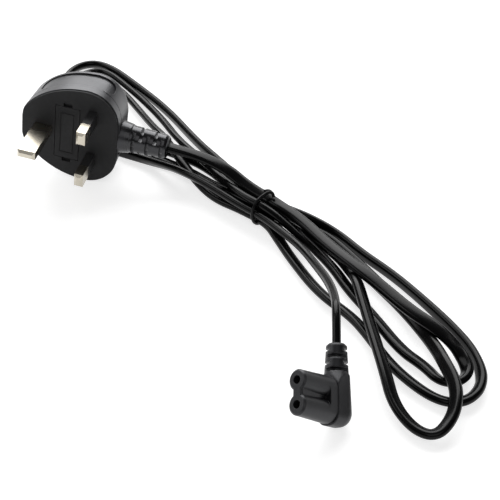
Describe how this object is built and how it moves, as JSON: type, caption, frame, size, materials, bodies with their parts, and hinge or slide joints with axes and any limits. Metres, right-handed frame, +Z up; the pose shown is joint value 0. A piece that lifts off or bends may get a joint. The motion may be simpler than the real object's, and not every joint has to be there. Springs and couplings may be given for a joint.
{
  "type": "figure eight power lead",
  "caption": "Mains lead with a moulded wall plug, a flat cord coiled under a wire tie and a right-angled figure-eight appliance connector.",
  "frame": {"origin": "on the floor under the middle of the box round the plug and the connector, cord left out", "axes": "+Z up from the floor, -Y the way the plug's pins point, +X from the plug towards the connector"},
  "size_m": [0.224, 0.2373, 0.0473],
  "materials": {
    "face_plastic": "matte moulded thermoset",
    "body_pvc": "satin moulded PVC",
    "pin_nickel": "nickel plated brass",
    "sleeve_black": "satin insulating sleeve",
    "carrier_plastic": "matte moulded plastic",
    "fuse_ceramic": "glazed ceramic tube",
    "fuse_cap": "plated brass cap",
    "contact_brass": "bright brass",
    "core_brown": "brown PVC core",
    "core_blue": "blue PVC core",
    "cord_pvc": "semi-gloss PVC sheath",
    "tie_plastic": "plastic covered wire"
  },
  "bodies": {
    "lead": {"plug_overmould": "body_pvc", "plug_base": "face_plastic", "earth_pin": "pin_nickel", "live_pin": "pin_nickel", "neutral_pin": "pin_nickel", "live_pin_sleeve": "sleeve_black", "neutral_pin_sleeve": "sleeve_black", "fuse_clip_upper": "contact_brass", "fuse_clip_lower": "contact_brass", "plug_live_core": "core_brown", "plug_neutral_core": "core_blue", "cord": "cord_pvc", "wire_tie": "tie_plastic", "connector_nose": "face_plastic", "connector_overmould": "body_pvc", "contact_upper": "contact_brass", "contact_lower": "contact_brass", "connector_core_upper": "core_brown", "connector_core_lower": "core_blue"},
    "fuse_drawer": {"fuse_carrier": "carrier_plastic", "fuse_barrel": "fuse_ceramic", "fuse_cap_upper": "fuse_cap", "fuse_cap_lower": "fuse_cap"}
  },
  "joints": [
    {"name": "fuse_carrier_slide", "type": "slide", "parent": "lead", "child": "fuse_drawer", "axis": [0, -1, 0], "range_m": [0, 0.016]}
  ]
}
